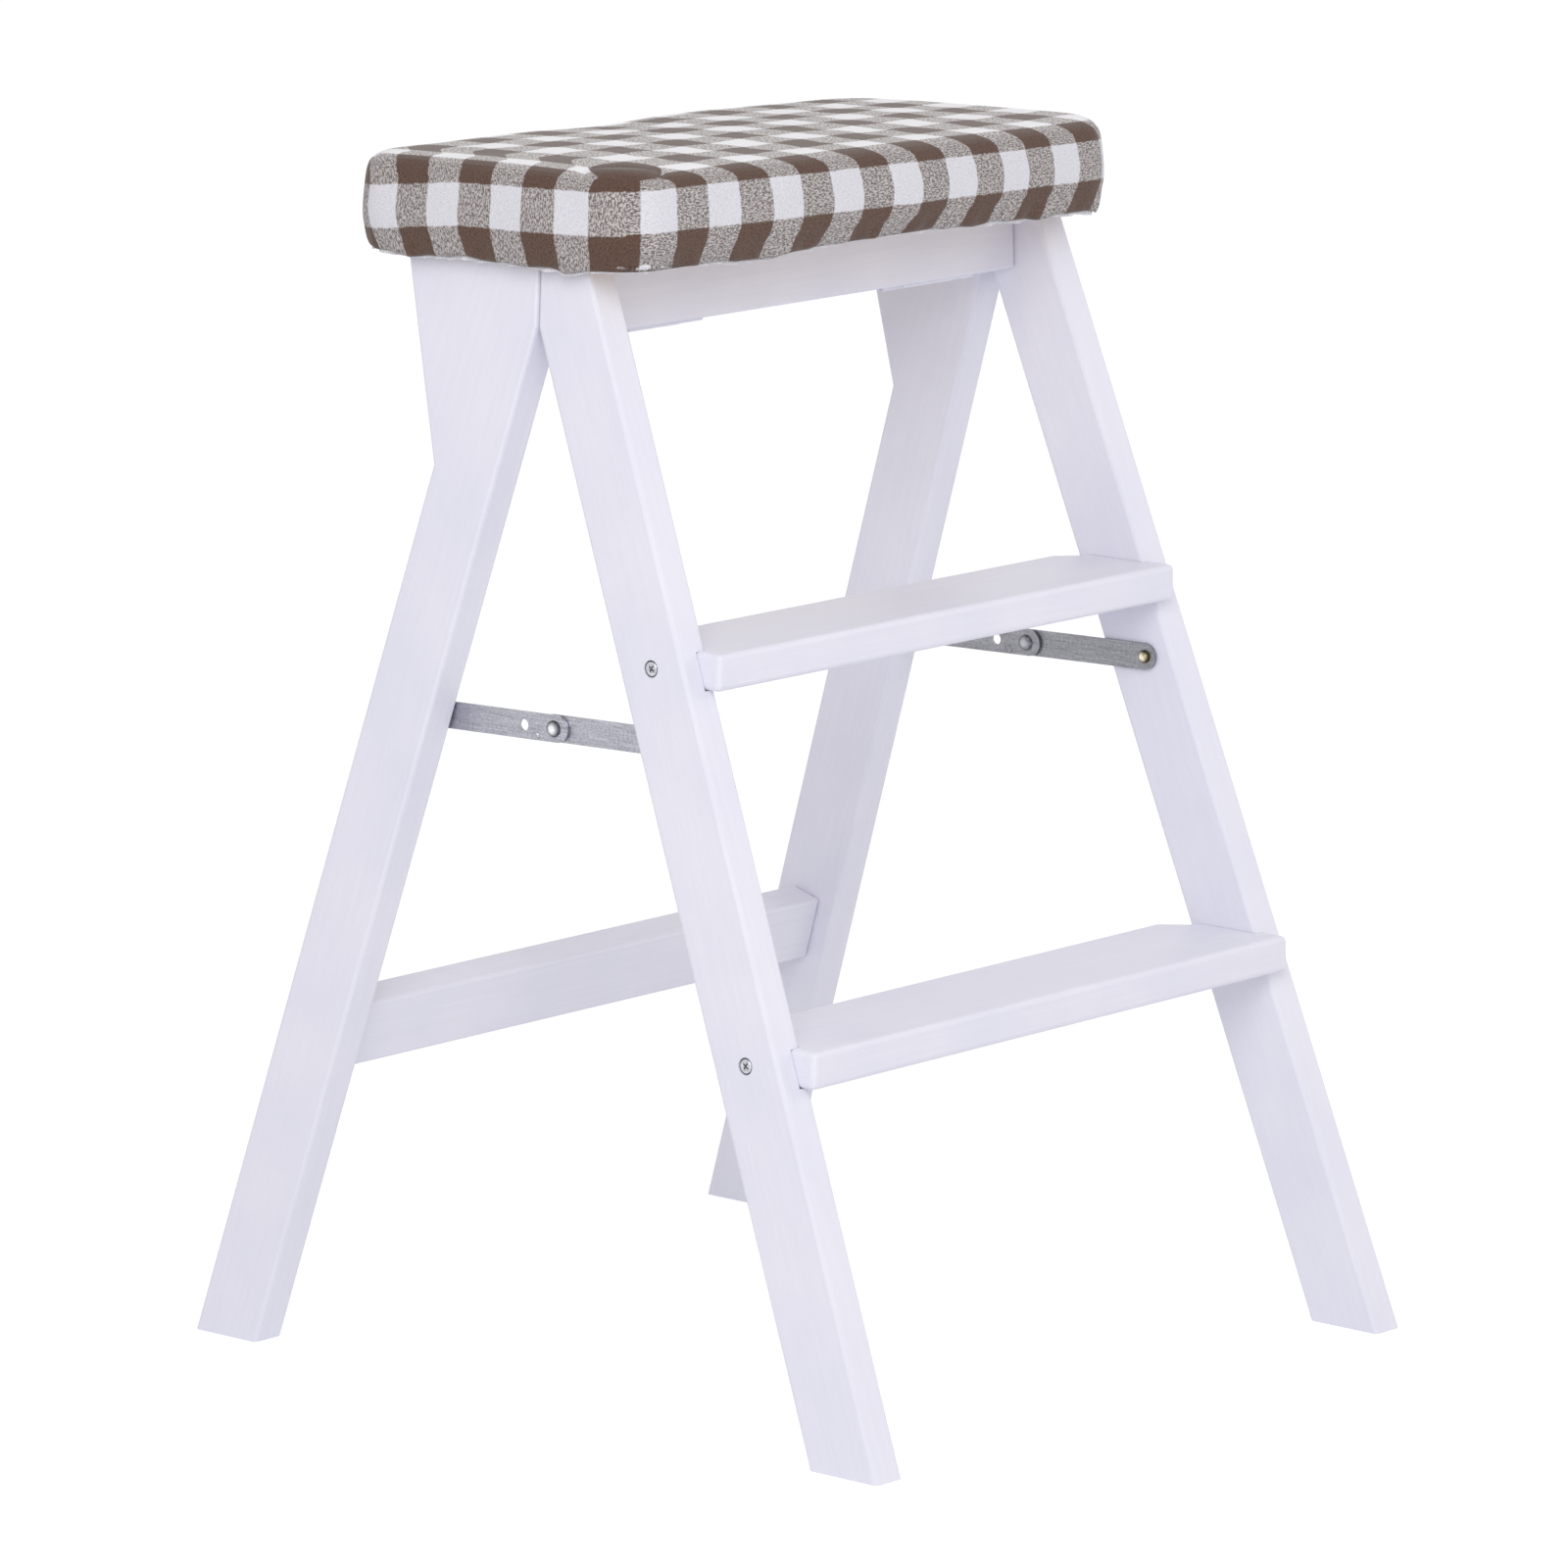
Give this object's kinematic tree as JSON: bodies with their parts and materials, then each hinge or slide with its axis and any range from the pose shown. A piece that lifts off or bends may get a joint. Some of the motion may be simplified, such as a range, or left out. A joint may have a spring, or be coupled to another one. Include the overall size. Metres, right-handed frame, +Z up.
{
  "type": "folding step ladder",
  "caption": "Folding wooden step stool with treads on a swinging front frame, jointed side spreaders and a cushioned seat on the rear frame",
  "frame": {"origin": "on the floor, in the middle of the four feet's outer edges", "axes": "+Z up, +X across the ladder to the right-hand side, -Y the front, which the treads face"},
  "size_m": [0.439, 0.4774, 0.647],
  "materials": {
    "white_paint": "painted, satin",
    "steel": "galvanised, satin",
    "beech": "raw",
    "yellow_zinc": "yellow zinc plate",
    "plywood": "raw",
    "foam": "open-cell foam",
    "gingham_cover": "woven gingham, matt"
  },
  "bodies": {
    "rear_frame": {"rear_leg_left": "white_paint", "rear_leg_right": "white_paint", "rear_rail": "white_paint", "rear_stretcher": "white_paint", "seat_board": "plywood", "foam_pad": "foam", "cushion_cover": "gingham_cover", "seat_screw_1": "steel", "seat_screw_2": "steel", "seat_screw_3": "steel", "seat_screw_4": "steel", "rear_rail_dowel_left": "beech", "rear_rail_dowel_right": "beech", "stretcher_dowel_left": "beech", "stretcher_dowel_right": "beech", "hinge_rear_leaf_left": "steel", "hinge_rear_leaf_right": "steel", "hinge_pin_left": "steel", "hinge_pin_right": "steel", "hinge_rear_screw_left_1": "steel", "hinge_rear_screw_left_2": "steel", "hinge_rear_screw_left_3": "steel", "hinge_rear_screw_right_1": "steel", "hinge_rear_screw_right_2": "steel", "hinge_rear_screw_right_3": "steel", "rear_pivot_screw_left": "yellow_zinc", "rear_pivot_screw_right": "yellow_zinc", "spreader_washer_right": "steel"},
    "front_frame": {"front_leg_left": "white_paint", "front_leg_right": "white_paint", "front_rail": "white_paint", "lower_tread": "white_paint", "upper_tread": "white_paint", "lower_tread_screw_left": "steel", "lower_tread_screw_right": "steel", "upper_tread_screw_left": "steel", "upper_tread_screw_right": "steel", "front_rail_dowel_left": "beech", "front_rail_dowel_right": "beech", "hinge_front_leaf_left": "steel", "hinge_front_leaf_right": "steel", "hinge_front_screw_left_1": "steel", "hinge_front_screw_left_2": "steel", "hinge_front_screw_left_3": "steel", "hinge_front_screw_right_1": "steel", "hinge_front_screw_right_2": "steel", "hinge_front_screw_right_3": "steel", "front_pivot_screw_left": "yellow_zinc", "front_pivot_screw_right": "yellow_zinc", "spreader_washer_left": "steel"},
    "rear_link_left": {"spreader_rear_link_left": "steel", "elbow_rivet_head_left": "steel"},
    "front_link_left": {"spreader_front_link_left": "steel", "elbow_rivet_tail_left": "steel"},
    "rear_link_right": {"spreader_rear_link_right": "steel", "elbow_rivet_head_right": "steel"},
    "front_link_right": {"spreader_front_link_right": "steel", "elbow_rivet_tail_right": "steel"}
  },
  "joints": [
    {"name": "fold", "type": "hinge", "parent": "rear_frame", "child": "front_frame", "pos_m": [0, 0.01947, 0.5551], "axis": [1, 0, 0], "range_deg": [0, 37.8]},
    {"name": "rear_link_left_pivot", "type": "hinge", "parent": "rear_frame", "child": "rear_link_left", "pos_m": [-0.18086, 0.09744, 0.3495], "axis": [1, 0, 0], "range_deg": [0, 135.9]},
    {"name": "front_link_left_pivot", "type": "hinge", "parent": "front_frame", "child": "front_link_left", "pos_m": [-0.17906, -0.08725, 0.3545], "axis": [1, 0, 0], "range_deg": [-58.9, 0]},
    {"name": "rear_link_right_pivot", "type": "hinge", "parent": "rear_frame", "child": "rear_link_right", "pos_m": [0.17906, 0.09744, 0.3495], "axis": [1, 0, 0], "range_deg": [0, 74.1]},
    {"name": "front_link_right_pivot", "type": "hinge", "parent": "front_frame", "child": "front_link_right", "pos_m": [0.18086, -0.08725, 0.3545], "axis": [1, 0, 0], "range_deg": [-120.7, 0]}
  ],
  "couplings": [
    {"joint": "rear_link_left_pivot", "follows": "fold", "ratio": 3.5922},
    {"joint": "front_link_left_pivot", "follows": "fold", "ratio": -1.5545},
    {"joint": "rear_link_right_pivot", "follows": "fold", "ratio": 1.9574},
    {"joint": "front_link_right_pivot", "follows": "fold", "ratio": -3.1893}
  ]
}
